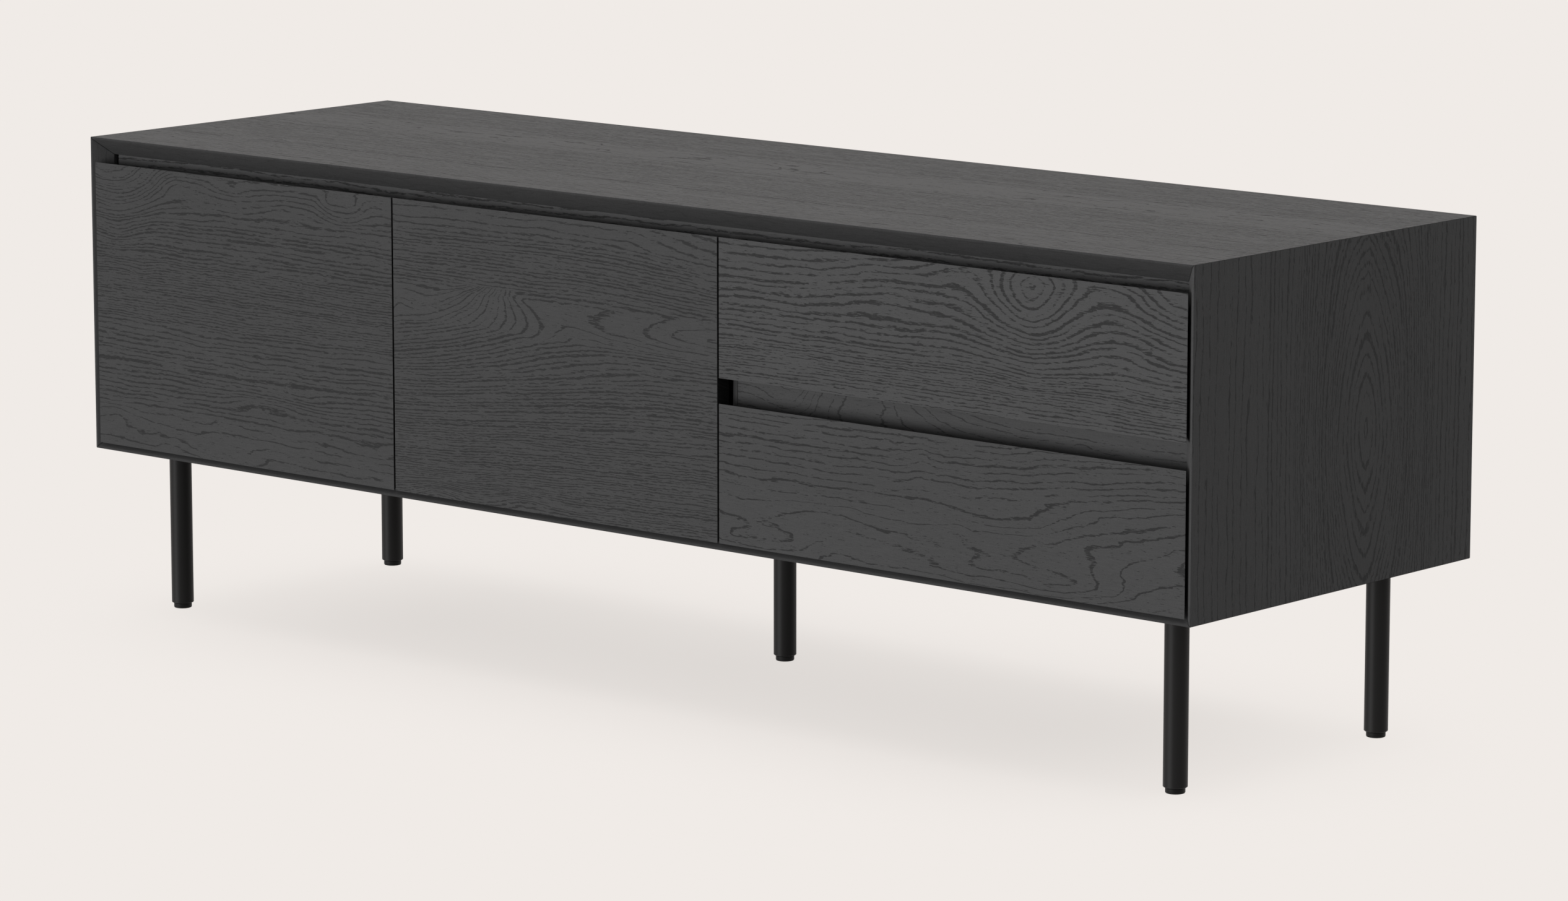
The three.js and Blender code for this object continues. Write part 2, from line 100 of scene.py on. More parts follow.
# concealed hinges, in metres
HINGE_EDGE = 0.25 * MM  # eased edges of the pressed parts
CUP_WALL = 1.0 * MM
CUP_PIN = (1.5 * MM, 8.5 * MM)  # off the cup's middle, and below its rim
CUP_PIN_RADIUS = 1.75 * MM
WING_HALF = 6.0 * MM  # half the width of a cup's wing
WING_THICK = 1.2 * MM
WING_SCREW = 21.0 * MM  # from the cup's middle, up and down
PLATE_SCREWS = (48.0 * MM, 14.5 * MM)  # from the case's front, and from the hinge's middle
PLATE_THICK = 2.0 * MM
ADJUSTERS = (-6.0 * MM, 5.0 * MM)  # along the arm, from the plate's screws

# outlines of a hinge cup, as (inside its radius, height above its bottom) or, at the rim, (inside its
# radius, depth below its rim), in millimetres
CUP_BOTTOM = ((1.2, 0.0), (0.3, 0.4), (0.0, 1.3))
CUP_RIM = ((0.0, 0.3), (0.3, 0.0), (0.55, 0.0), (1.0, 1.0))
CUP_INSIDE = ((1.0, 2.2), (1.4, 1.3), (2.2, 1.0))

# drawer slides, in metres
SLIDE_EDGE = 0.3 * MM  # eased edges
SLIDE_STEEL = 1.2 * MM
SLIDE_SCREWS = (22.0 * MM, 142.0 * MM, 302.0 * MM)  # from a slide's front end
WEB_REACH = 7.5 * MM  # half the width of the pressed web
WEB_DEPTH = 1.4 * MM
WEB_SLOPE = 1.2  # width of the web's sloping sides over its depth
WEB_WAYS = {"outer": 0, "middle": -1, "inner": 1}  # 1 is away from the drawer box
LEVER_START = 60.0 * MM  # from a slide's front end
LEVER_SIZE = (2.6 * MM, 38.0 * MM, 11.0 * MM)
LEVER_OFF = 1.5 * MM  # from the web to the middle of the lever
LEVER_EDGE = 0.9 * MM
LEVER_NARROWING = 0.55  # share of its height that a lever loses to the back
LEVER_RISE = 1.6 * MM  # of its back end

# shelf pins and back panel, in metres
SHELF_PIN = 48.0 * MM  # from the shelf's front and rear edges
PIN_DROP = 4.3 * MM  # from the shelf's underside to a pin's axis
EDGE_SCREW = 9.0 * MM  # from the back panel's edges
BACK_COLUMNS = 8  # of screws along the back panel

# outline of a shelf pin, as (radius, distance from the board that it sits on), in millimetres
PIN_OUTLINE = ((0, 0), (4.2, 0), (4.2, 1.2), (2.5, 1.6), (2.5, 8.6), (2.1, 9), (0, 9))

# screw heads, as (radius, height), in metres, and the cross recess in each
WING_HEAD = (3.4 * MM, 0.9 * MM)
PLATE_HEAD = (3.8 * MM, 2.0 * MM)
ADJUSTER_HEAD = (3.1 * MM, 0.5 * MM)
SLIDE_HEAD = (3.2 * MM, 1.3 * MM)
BACK_HEAD = (3.6 * MM, 0.7 * MM)
HEAD_SOFT = 0.4  # share of the height that is chamfered
CROSS_REACH = 0.62  # of the recess, as a share of the radius
CROSS_TAPER = 0.7  # of the recess's floor, as a share of its mouth
CROSS_FLOOR = 0.2  # height of that floor, as a share of the height

# how the shapes are finished
SAME_PLACE = 0.002 * MM  # corners closer than this are one
FLAT = math.radians(0.5)  # faces that turn by less than this are one
SMOOTH = math.radians(25)  # edges that turn by less than this are shaded smooth
CUP_SIDES = 72  # of a hinge cup
SMALL_SIDES = 32  # of a shelf pin and of a screw head

# the studio
FLOOR_HALF = 60.0  # half the width of the floor, in metres
FLOOR_BOUNCE = (0.22, 0.217, 0.214)  # colour of the floor to the light that it throws back
SHADOW_HALF = 0.39  # half the width of the shadow's darkest part, in metres
SHADOW_AHEAD = 0.03  # from the case's middle forwards to the shadow's, in metres
LAMPS = {  # side, height and spread in degrees, as distant_lamp takes them
    "key": (20, -10, 38),
    "overhead": (180, 86, 56),
    "rear": (-142, 35, 70),
}
SLANTING = ("key", "rear")  # lamps that neither light the floor nor are shaded by it


# ---------------------------------------------------------------- settings

class OakSettings(PropertyGroup):
    """Colours and relief of the stained oak."""

    base: FloatVectorProperty(
        name="Stain", description="Colour between the growth lines", subtype="COLOR",
        size=3, min=0, max=1, default=(0.1015, 0.1015, 0.1026))
    line: FloatVectorProperty(
        name="Growth lines", description="Colour of the open pores along the growth lines",
        subtype="COLOR", size=3, min=0, max=1, default=(0.0480, 0.0480, 0.0485))
    roughness: FloatProperty(
        name="Roughness", description="Roughness of the satin lacquer", min=0, max=1, default=0.58)
    gloss: FloatProperty(
        name="Gloss level", description="Strength of the lacquer's reflection", min=0, max=1, default=0.05)
    pore_depth: FloatProperty(
        name="Pore depth", description="Depth of the open pores", subtype="DISTANCE", unit="LENGTH",
        default=0.00022)
    edge: FloatProperty(
        name="Eased edge", description="Width of the eased edges of a board", subtype="DISTANCE",
        unit="LENGTH", default=0.0004)


class FittingSettings(PropertyGroup):
    """Colours of the steel and plastic fittings."""

    powder: FloatVectorProperty(
        name="Powder coat", description="Colour of the legs", subtype="COLOR", size=3, min=0, max=1,
        default=(0.021, 0.0205, 0.0205))
    nickel: FloatVectorProperty(
        name="Nickel", description="Colour of the hinges and shelf pins", subtype="COLOR", size=3,
        min=0, max=1, default=(0.56, 0.54, 0.51))
    zinc: FloatVectorProperty(
        name="Zinc", description="Colour of the slides", subtype="COLOR", size=3, min=0, max=1,
        default=(0.45, 0.46, 0.48))
    blackened: FloatVectorProperty(
        name="Blackened steel", description="Colour of the back panel's screws", subtype="COLOR",
        size=3, min=0, max=1, default=(0.03, 0.03, 0.031))
    foot: FloatVectorProperty(
        name="Feet", description="Colour of the levelling feet", subtype="COLOR", size=3, min=0,
        max=1, default=(0.012, 0.012, 0.012))
    lever: FloatVectorProperty(
        name="Levers", description="Colour of the slides' release levers", subtype="COLOR", size=3,
        min=0, max=1, default=(0.015, 0.015, 0.015))
    gloss: FloatProperty(
        name="Gloss level", description="Strength of the reflection on powder coat and plastic",
        min=0, max=1, default=0.12)
    round_sides: IntProperty(
        name="Sides of a round piece", description="Steps round a leg or a foot", min=16, max=128,
        default=72)


class StudioSettings(PropertyGroup):
    """Camera, floor and lamps."""

    camera: FloatVectorProperty(
        name="Camera", description="Place of the camera", subtype="TRANSLATION", unit="LENGTH", size=3,
        default=(4.130, -4.684, 1.318))
    yaw: FloatProperty(
        name="Yaw", description="Turn of the view from straight back towards the left",
        subtype="ANGLE", unit="ROTATION", default=math.radians(41.07))
    pitch: FloatProperty(
        name="Pitch", description="Tilt of the view below the horizon", subtype="ANGLE",
        unit="ROTATION", default=math.radians(9.87))
    lens: FloatProperty(
        name="Lens", description="Focal length in millimetres", min=20, max=300, default=139.95)
    paper: FloatVectorProperty(
        name="Background", description="Colour of the floor and the background", subtype="COLOR",
        size=3, min=0, max=1, default=(0.8714, 0.8308, 0.7991))
    shade: FloatProperty(
        name="Shadow share", description="How much of the light's shadow shows on the floor",
        min=0, max=1, default=0.305)
    shadow_reach: FloatProperty(
        name="Shadow reach", description="How far from its darkest part the shadow fades out",
        subtype="DISTANCE", unit="LENGTH", default=0.585)
    floor_level: FloatProperty(
        name="Floor level", description="Level of the light on the open floor", min=0, max=2,
        default=0.59)
    ambient: FloatProperty(
        name="Ambient level", description="Level of the light that comes from all round",
        min=0, max=2, default=0.18)
    key: FloatProperty(
        name="Key level", description="Level of the lamp in front", min=0, max=2, default=0.43)
    overhead: FloatProperty(
        name="Overhead level", description="Level of the lamp above", min=0, max=2, default=0.438)
    rear: FloatProperty(
        name="Rear level", description="Level of the lamp behind on the right", min=0, max=2,
        default=0.19)


# ---------------------------------------------------------------- nodes

class Value:
    """A number in a node tree, on which sums are written as in Python."""

    def __init__(self, nodes, socket):
        self.nodes = nodes
        self.socket = socket

    def math(self, operation, *others, first=None):
        """What a Math node makes of this number and others after it, or of one before it."""
        terms = [self, *others] if first is None else [first, self]
        node = self.nodes.node("ShaderNodeMath", {"operation": operation}, {})
        for socket, term in zip(node.inputs, terms):
            self.nodes.feed(socket, term)
        return Value(self.nodes, node.outputs[0])

    def __add__(self, other):
        return self.math("ADD", other)

    def __radd__(self, other):
        return self.math("ADD", first=other)

    def __sub__(self, other):
        return self.math("SUBTRACT", other)

    def __rsub__(self, other):
        return self.math("SUBTRACT", first=other)

    def __mul__(self, other):
        return self.math("MULTIPLY", other)

    def __rmul__(self, other):
        return self.math("MULTIPLY", first=other)

    def __truediv__(self, other):
        return self.math("DIVIDE", other)

    def __rtruediv__(self, other):
        return self.math("DIVIDE", first=other)

    def __pow__(self, other):
        return self.math("POWER", other)

    def __rpow__(self, other):
        return self.math("POWER", first=other)

    def __abs__(self):
        return self.math("ABSOLUTE")

    def at_least(self, other):
        return self.math("MAXIMUM", other)

    def at_most(self, other):
        return self.math("MINIMUM", other)

    def fraction(self):
        return self.math("FRACT")

    def exponential(self):
        return self.math("EXPONENT")

    def smooth(self, low, high):
        """0 below low, 1 above high and smooth between."""
        return self.nodes.add("ShaderNodeMapRange", {"interpolation_type": "SMOOTHSTEP"},
                              {"Value": self, "From Min": low, "From Max": high})


class Nodes:
    """A node tree and what is added to it."""

    def __init__(self, tree):
        self.tree = tree
        self.place = None

    def feed(self, socket, value):
        """Sets a socket, or links it where the value comes from another node."""
        if isinstance(value, Value):
            self.tree.links.new(value.socket, socket)
        elif isinstance(value, bpy.types.NodeSocket):
            self.tree.links.new(value, socket)
        else:
            socket.default_value = value

    def node(self, kind, settings, inputs):
        """A new node: its settings come first, then the values or links of its sockets, which are
        named, or counted where several share a name."""
        made = self.tree.nodes.new(kind)
        for name, value in settings.items():
            setattr(made, name, value)
        for name, value in inputs.items():
            self.feed(made.inputs[name], value)
        return made

    def add(self, kind, settings, inputs):
        """The number that a new node gives."""
        return Value(self, self.node(kind, settings, inputs).outputs[0])

    def axes(self):
        """The place on the piece along X, Y and Z, in millimetres."""
        if self.place is None:
            where = self.node("ShaderNodeTexCoord", {}, {}).outputs["Object"]
            parts = self.node("ShaderNodeSeparateXYZ", {}, {"Vector": where})
            self.place = {axis: Value(self, parts.outputs[axis]) * (1 / MM) for axis in "XYZ"}
        return self.place

    def facing(self, axis):
        """1 where the surface faces along an axis of the piece, either way, and 0 beside it."""
        normal = self.node("ShaderNodeTexCoord", {}, {}).outputs["Normal"]
        parts = self.node("ShaderNodeSeparateXYZ", {}, {"Vector": normal})
        return abs(Value(self, parts.outputs[axis]))

    def seen(self):
        """1 for what is seen, also in gloss and through glass, and 0 for what only gives light."""
        rays = self.node("ShaderNodeLightPath", {}, {}).outputs
        straight = Value(self, rays["Is Camera Ray"])
        return straight.at_least(rays["Is Glossy Ray"]).at_least(rays["Is Transmission Ray"])

    def noise(self, x, y, z=0.0, detail=1.0, roughness=0.5):
        """Noise from 0 to 1 with one wave a unit."""
        where = self.node("ShaderNodeCombineXYZ", {}, {"X": x, "Y": y, "Z": z}).outputs[0]
        return self.add("ShaderNodeTexNoise", {"noise_dimensions": "3D"},
                        {"Vector": where, "Scale": 1.0, "Detail": detail, "Roughness": roughness})

    def cloud(self, scales, detail=2.0):
        """Noise over the whole piece, with the given number of waves a millimetre along each axis."""
        x, y, z = (place * scale for place, scale in zip(self.axes().values(), scales))
        return self.noise(x, y, z, detail=detail)

    def mix(self, factor, low, high):
        """A colour between two colours."""
        inputs = {"Factor": factor, 6: low, 7: high}
        return self.node("ShaderNodeMix", {"data_type": "RGBA"}, inputs).outputs[2]

    def scaled(self, colour, factor):
        """A colour times a number."""
        inputs = {0: tuple(colour), "Scale": factor}
        return self.node("ShaderNodeVectorMath", {"operation": "SCALE"}, inputs).outputs[0]

    def shader(self, kind, **inputs):
        """A plain shader for the floor or the world."""
        return self.node(kind, {}, inputs).outputs[0]

    def mix_shader(self, factor, low, high):
        return self.node("ShaderNodeMixShader", {}, {"Fac": factor, 1: low, 2: high}).outputs[0]


class Finish(Nodes):
    """A material on the usual shader and what is added to it."""

    def __init__(self, name):
        self.material = bpy.data.materials.new(name)
        self.material.use_nodes = True
        super().__init__(self.material.node_tree)
        self.surface = self.tree.nodes["Principled BSDF"]

    def set(self, **values):
        """Sets or links sockets of the shader, whose names have _ for a space."""
        for name, value in values.items():
            self.feed(self.surface.inputs[name.replace("_", " ")], value)

    def relief(self, height, depth):
        """Bumps the surface where a height from 0 to 1 varies, by up to a depth in metres."""
        bump = self.node("ShaderNodeBump", {}, {"Strength": 1.0, "Distance": depth, "Height": height})
        self.set(Normal=bump.outputs[0])


def rgba(colour):
    """A colour with its alpha."""
    return (*colour, 1.0)


# ---------------------------------------------------------------- finishes

# patterns in the oak, as waves along and across the grain, in millimetres
SWINGS = (420, 120)
BENDS = (70, 22)
SHIVERS = (11, 3.5)
PORES = (8.0, 0.95)
STREAKS = (14, 0.5)
CLOUDS = (260, 60)
GRIT = (1 / 0.9, 1 / 1.5)

FAR = 2000.0  # beyond every board, in millimetres
FAN_GAP = 6.0  # between the growth lines of a fan, in millimetres
BAND_BLEND = 3.0  # half the height over which one spacing passes into the next, in millimetres
SHIVER_REACH = 3.0  # of the growth lines, in millimetres
STRETCH = 60  # length of the dark and the faint stretches of a growth line, in millimetres
LINE_SHARE = 0.40  # the most of the gap between two growth lines that a line takes
LINE_PULL = 0.275  # how much more the pores open along a growth line
OPEN_PORES = (0.635, 0.75)  # noise at which a pore starts and is fully open
EDGE_LINES = 0.35  # strength of the growth lines on the edges of a board
BROAD = (0.75, 0.95)  # how squarely a surface faces where a board's face starts and is whole


def growth_lines(nodes, height, bands):
    """How many growth lines lie below a height, and how far apart they lie there."""
    ends = [low for low, spacing in bands[1:]] + [FAR]
    counts = [nodes.add("ShaderNodeMapRange", {}, {
        "Value": height, "From Min": low, "From Max": high, "To Max": (high - low) / spacing})
        for (low, spacing), high in zip(bands, ends)]
    ring, gap = counts[0], bands[0][1]
    for count, (low, spacing), (_, before) in zip(counts[1:], bands[1:], bands):
        ring = ring + count
        gap = height.smooth(low - BAND_BLEND, low + BAND_BLEND) * (spacing - before) + gap
    return ring, gap


def crowned(u, v, u0, v0, slope, power, crest, reach):
    """The height over a board cut through the middle of the log: the growth lines lie mirrored about
    `v0`, and close round `u0` in long ovals whose length is 1 / `slope` of their width. Beyond
    `reach` of `v0` they run straight."""
    off = abs(v - v0)
    straight = (-1.0 * (off / reach) ** 2).exponential()
    along = abs((u - u0) * slope) ** power * straight
    return (off ** power + along + crest ** power) ** (1 / power)


def knotted(u, v, u0, v0, slope, power, reach):
    """The height over a board with a knot at (u0, v0): within `reach` the growth lines close round
    it in rings 1 / `slope` as wide as high."""
    away = (abs((u - u0) * slope) ** power + abs(v - v0) ** power) ** (1 / power)
    near = (-1.0 * (away / reach) ** 2).exponential()
    return v * (1.0 - near) + (v0 - away) * near


def fanned(u, v, u0, v0, depth, start, end, lines):
    """How many growth lines spread like a fan below (u0, v0), and where the fan lies: they start
    within `start` of it and lie within `end` of it at `depth` below, then bend back with the rest."""
    below = (v0 - v) / depth
    width = below * (end - start) + start
    under = below.math("GREATER_THAN", 0.0)
    turn = ((u - u0) / width).smooth(-1.0, 1.0)
    inside = turn * (1.0 - turn) * (1.0 - below.smooth(0.6, 1.4)) * under * 4.0
    return turn * under * -lines, inside


def oak(node, seed, along, across, bands=((-FAR, 8.0),), figures=(), crown=None, knot=None, fan=None,
        tone=1.0, face=None, painted_edge_shade=1.0, sway=7.0, flow=0.7, contrast=1.0, line=1.9):
    """Stained oak veneer for a board. All its sizes are in millimetres.

    `along` and `across` weigh X, Y and Z for the places along and across the grain, which count from
    the case's low corner, or from the board's own where the weight isn't 1. `seed` sets the noise.
    From each height in `bands` the growth lines lie the given distance apart. They are up to `line`
    wide, swing by up to `sway` and bend by up to `flow` of their own distances. `crown`, `knot` and
    `fan` are as their functions say. A figure is (along, across, reach along, reach across, lines,
    power): it adds up to that many growth lines round its centre. `contrast` is the strength of the
    lines, and `tone` that of the whole board. Where `face` names an axis, the edges that don't face
    along it have fainter lines and are darkened to `painted_edge_shade` of the tone. This is a painted
    shade that stands for the shade on those edges and bevels.
    """
    look = bpy.context.scene.sideboard_oak
    finish = Finish("Oak on " + node)
    place = finish.axes()

    def measure(weights):
        terms = []
        for axis, weight in weights.items():
            corner = CASE_LOW if weight == 1.0 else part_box(node)[0]
            terms.append((place[axis] - corner["XYZ".index(axis)] / MM) * weight)
        return sum(terms[1:], start=terms[0])

    u, v = measure(along), measure(across)

    def pattern(size, draw, detail=1.0, roughness=0.5):
        """Noise from 0 to 1 with waves of a size along and across the grain."""
        return finish.noise(u * (1 / size[0]), v * (1 / size[1]), seed + draw, detail, roughness)

    height = v
    if crown is not None:
        height = crowned(u, v, **crown)
    elif knot is not None:
        height = knotted(u, v, **knot)
    swing = (pattern(SWINGS, 3.1) - 0.5) * (2 * sway)
    shiver = (pattern(SHIVERS, 1.3, detail=2.0) - 0.5) * SHIVER_REACH
    ring, gap = growth_lines(finish, height + swing + shiver, bands)
    ring = ring + (pattern(BENDS, 7.7, detail=2.0) - 0.5) * (2 * flow)
    for u0, v0, reach_along, reach_across, lines, power in figures:
        du = (u - u0) * (1 / reach_along)
        dv = (v - v0) * (1 / reach_across)
        distance = (du * du + dv * dv) ** (power / 2)
        ring = ring + (-1.0 * distance).exponential() * lines
    if fan is not None:
        added, inside = fanned(u, v, **fan)
        ring = ring + added
        gap = gap * (1.0 - inside) + inside * FAN_GAP

    uneven = finish.noise(ring * 0.8, seed, seed + 5.9) - 0.5
    phase = (ring + uneven * 1.2).fraction()
    width = gap * LINE_SHARE
    width = width.at_most(line) if isinstance(width, Value) else min(width, line)
    step = phase * gap / width
    band = step.smooth(0.0, 0.3) * (1.0 - step.smooth(0.7, 1.4))
    stretch = finish.noise(u * (1 / STRETCH), ring * 0.9, seed + 9.4, detail=2.0)
    pores = pattern(PORES, 2.6, detail=2.0, roughness=0.65)
    mask = (pores + band * stretch.smooth(0.20, 0.56) * LINE_PULL).smooth(*OPEN_PORES)

    streaks = pattern(STREAKS, 4.4) - 0.5
    clouds = pattern(CLOUDS, 6.1, detail=2.0) - 0.5
    grit = pattern(GRIT, 8.3) - 0.5
    shade = streaks * 0.36 + grit * 0.34 + clouds * 0.14 + tone
    # painted shade: surfaces that turn away from `face`, the edges and bevels of a board, are darkened to
    # stand for the shade that falls on them
    if face is not None:
        broad = finish.facing(face).smooth(*BROAD)
        shade = shade * (broad * (1.0 - painted_edge_shade) + painted_edge_shade)
        mask = mask * (broad * (1.0 - EDGE_LINES) + EDGE_LINES)
    dark = rgba(part * tone for part in look.line)
    finish.set(Base_Color=finish.mix(mask * contrast, finish.scaled(look.base, shade), dark))
    finish.set(Roughness=mask * 0.14 + streaks * 0.12 + look.roughness)
    finish.set(Specular_IOR_Level=look.gloss)
    finish.relief(1.0 - mask + streaks * 0.3, look.pore_depth)
    return finish.material


def plated(name, colour, roughness, grain):
    """Plated or rolled steel with faint drawing lines."""
    finish = Finish(name)
    lines = finish.cloud(grain)
    clouds = finish.cloud((0.06, 0.06, 0.06)) - 0.5
    finish.set(Base_Color=finish.scaled(colour, clouds * 0.35 + 1.0), Metallic=1.0)
    finish.set(Roughness=(lines - 0.5) * 0.12 + clouds * 0.12 + roughness)
    finish.relief(lines, 0.012 * MM)
    return finish.material


def powder_coat(name, colour, gloss):
    """Fine-textured powder coat."""
    finish = Finish(name)
    grit = finish.cloud((2.2, 2.2, 2.2))
    finish.set(Base_Color=finish.scaled(colour, (grit - 0.5) * 0.3 + 1.0))
    finish.set(Roughness=(grit - 0.5) * 0.2 + 0.42, Specular_IOR_Level=gloss)
    finish.relief(grit, 0.06 * MM)
    return finish.material


def moulded(name, colour, gloss, roughness):
    """Moulded plastic with a faint skin."""
    finish = Finish(name)
    skin = finish.cloud((1.4, 1.4, 1.4), detail=3.0)
    finish.set(Base_Color=finish.scaled(colour, (skin - 0.5) * 0.25 + 1.0))
    finish.set(Roughness=(skin - 0.5) * 0.15 + roughness, Specular_IOR_Level=gloss)
    finish.relief(skin, 0.04 * MM)
    return finish.material


# ---------------------------------------------------------------- shapes

def body_of(node):
    """The body that a node of the frame rides on."""
    return frame["nodes"][node]["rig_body"]


def slot_of(node):
    """The material slot of a node of the frame."""
    rows = frame["record"]["subparts"]
    return next(row["material_slot"] for row in rows if row["node"] == node)


def added(name, data):
    """A new object in the scene."""
    item = bpy.data.objects.new(name, data)
    bpy.context.scene.collection.objects.link(item)
    return item


def shown(name, mesh, material):
    """A new object with a shape and a material."""
    data = bpy.data.meshes.new(name)
    mesh.to_mesh(data)
    mesh.free()
    data.materials.append(material)
    return added(name, data)


def settled(name, mesh, material, body, slot, smooth=False):
    """A new piece with the given material that rides on a body; `slot` is not used."""
    piece = shown(name, mesh, material)
    if smooth:
        piece.data.shade_smooth()
        piece.data.set_sharp_from_angle(angle=SMOOTH)
    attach(piece, body)
    return piece


def finished(node, name, mesh, material, smooth=False):
    """A new piece that stands for a node of the frame."""
    piece = settled(name, mesh, material, body_of(node), slot_of(node), smooth)
    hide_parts(node)


def merged_copy(node):
    """The node's own shape with its loose triangles joined into flat faces."""
    mesh = bmesh.new()
    mesh.from_mesh(frame["nodes"][node].data)
    bmesh.ops.remove_doubles(mesh, verts=mesh.verts, dist=SAME_PLACE)
    bmesh.ops.dissolve_limit(mesh, angle_limit=FLAT, verts=mesh.verts, edges=mesh.edges,
                             delimit={"NORMAL"})
    return mesh


def rounded(mesh, edges, width, segments):
    """Rounds edges."""
    bmesh.ops.bevel(mesh, geom=edges, offset=width, offset_type="OFFSET", segments=segments,
                    profile=0.5, affect="EDGES", clamp_overlap=True, material=-1)


def ease(mesh, width, segments=2, least=20, corners=True):
    """Rounds every edge that turns by more than `least` degrees, or only those that stand out."""
    sharp = [edge for edge in mesh.edges
             if len(edge.link_faces) == 2 and edge.calc_face_angle() > math.radians(least)
             and (corners or edge.is_convex)]
    rounded(mesh, sharp, width, segments)
    bmesh.ops.remove_doubles(mesh, verts=mesh.verts, dist=2 * SAME_PLACE)
    bmesh.ops.dissolve_degenerate(mesh, edges=mesh.edges, dist=2 * SAME_PLACE)


def placed(mesh, centre, axis, verts=None):
    """Turns a mesh's Z axis towards `axis` and its origin to `centre`."""
    turn = Vector(axis).to_track_quat("Z", "Y").to_matrix().to_4x4()
    bmesh.ops.transform(mesh, matrix=Matrix.Translation(centre) @ turn, verts=verts or mesh.verts)
    return mesh


def turned(profile, sides):
    """A piece turned about the Z axis, from (radius, height) corners."""
    mesh = bmesh.new()
    corners = [mesh.verts.new((radius, 0, height)) for radius, height in profile]
    edges = [mesh.edges.new(pair) for pair in zip(corners, corners[1:])]
    bmesh.ops.spin(mesh, geom=corners + edges, cent=(0, 0, 0), axis=UP,
                   angle=math.tau, steps=sides, use_merge=True)
    bmesh.ops.remove_doubles(mesh, verts=mesh.verts, dist=SAME_PLACE)
    bmesh.ops.recalc_face_normals(mesh, faces=mesh.faces)
    return mesh


def leg_outline(radius, low, top):
    """A tube with a welded cap at the top and a threaded plug at the lower end."""
    inside = radius - LEG_WALL
    return [(0, top), (radius, top), (radius, low + LEG_SOFT), (radius - LEG_SOFT, low), (LEG_BORE, low),
            (LEG_BORE, low + LEG_PLUG), (inside, low + LEG_PLUG), (inside, top - LEG_CAP),
            (0, top - LEG_CAP)]


def foot_outline(radius, low, top):
    """A round foot with a stem."""
    rim = low + FOOT_RIM
    return [(0, low), (radius - FOOT_ROUND, low), (radius - FOOT_ROUND / 3, low + FOOT_ROUND / 4),
            (radius, low + FOOT_ROUND), (radius, rim - FOOT_SOFT), (radius - FOOT_SOFT, rim),
            (FOOT_STEM, rim), (FOOT_STEM, top), (0, top)]


def cup_outline(radius, deep):
    """A pressed cup with a round bottom and a chamfered rim."""
    return [(0, 0),
            *((radius - inside * MM, height * MM) for inside, height in CUP_BOTTOM),
            *((radius - inside * MM, deep - depth * MM) for inside, depth in CUP_RIM),
            *((radius - inside * MM, height * MM) for inside, height in CUP_INSIDE),
            (0, CUP_WALL)]


def wing_outline(start, reach):
    """One round-ended wing of a cup, from its round wall at `start` out to `reach`."""
    steps = 12
    across = [WING_HALF * (2 * step / steps - 1) for step in range(steps + 1)]
    turns = [math.pi / 2 * step / steps for step in range(2 * steps + 1)]
    outline = [(x, math.sqrt(start ** 2 - x ** 2)) for x in across]
    outline += [(WING_HALF * math.cos(turn), reach - WING_HALF + WING_HALF * math.sin(turn))
                for turn in turns]
    return outline


def hinge_cup(low, high, into):
    """A pressed cup open to +Y, with a pin across it and a wing above and below."""
    middle = (low + high) / 2
    radius = (high.x - low.x) / 2
    in_wall = radius - CUP_WALL / 2
    mesh = turned(cup_outline(radius, high.y - low.y), CUP_SIDES)
    placed(mesh, (middle.x, low.y, middle.z), BACKWARDS)
    off, depth = CUP_PIN
    pin = Matrix.Translation((middle.x + into * off, high.y - depth, middle.z))
    bmesh.ops.create_cone(mesh, cap_ends=True, segments=24, radius1=CUP_PIN_RADIUS,
                          radius2=CUP_PIN_RADIUS, depth=2 * in_wall, matrix=pin)
    for side in (-1, 1):
        corners = [mesh.verts.new((middle.x + x, high.y - WING_THICK, middle.z + side * z))
                   for x, z in wing_outline(in_wall, high.z - middle.z)]
        grown = bmesh.ops.extrude_face_region(mesh, geom=[mesh.faces.new(corners)])["geom"]
        top = [part for part in grown if isinstance(part, bmesh.types.BMVert)]
        bmesh.ops.translate(mesh, vec=(0, WING_THICK, 0), verts=top)
        rim = {edge for vert in top for edge in vert.link_edges if edge.other_vert(vert) in top}
        rounded(mesh, list(rim), HINGE_EDGE, 2)
    bmesh.ops.recalc_face_normals(mesh, faces=mesh.faces)
    return mesh


def screw_head(radius, height):
    """A round screw head on Z = 0 with a cross recess."""
    arm = CROSS_REACH * radius
    width = arm * math.tan(math.tau / SMALL_SIDES)
    soft = HEAD_SOFT * height

    def cross(turn):
        """How far the recess reaches in a direction."""
        off = abs((turn + math.pi / 4) % (math.pi / 2) - math.pi / 4)
        return min(arm / math.cos(off), width / max(math.sin(off), 0.001))

    rings = [(lambda turn: radius, height - soft), (lambda turn: radius - soft, height),
             (cross, height), (lambda turn: CROSS_TAPER * cross(turn), CROSS_FLOOR * height)]
    mesh = bmesh.new()
    bmesh.ops.create_circle(mesh, segments=SMALL_SIDES, radius=radius, cap_ends=True)
    edges = list(mesh.edges)
    for reach, level in rings:
        grown = bmesh.ops.extrude_edge_only(mesh, edges=edges)["geom"]
        corners = [part for part in grown if isinstance(part, bmesh.types.BMVert)]
        edges = [part for part in grown if isinstance(part, bmesh.types.BMEdge)
                 and all(vert in corners for vert in part.verts)]
        for vert in corners:
            turn = math.atan2(vert.co.y, vert.co.x)
            vert.co = (reach(turn) * math.cos(turn), reach(turn) * math.sin(turn), level)
    bmesh.ops.contextual_create(mesh, geom=edges)
    bmesh.ops.recalc_face_normals(mesh, faces=mesh.faces)
    return mesh


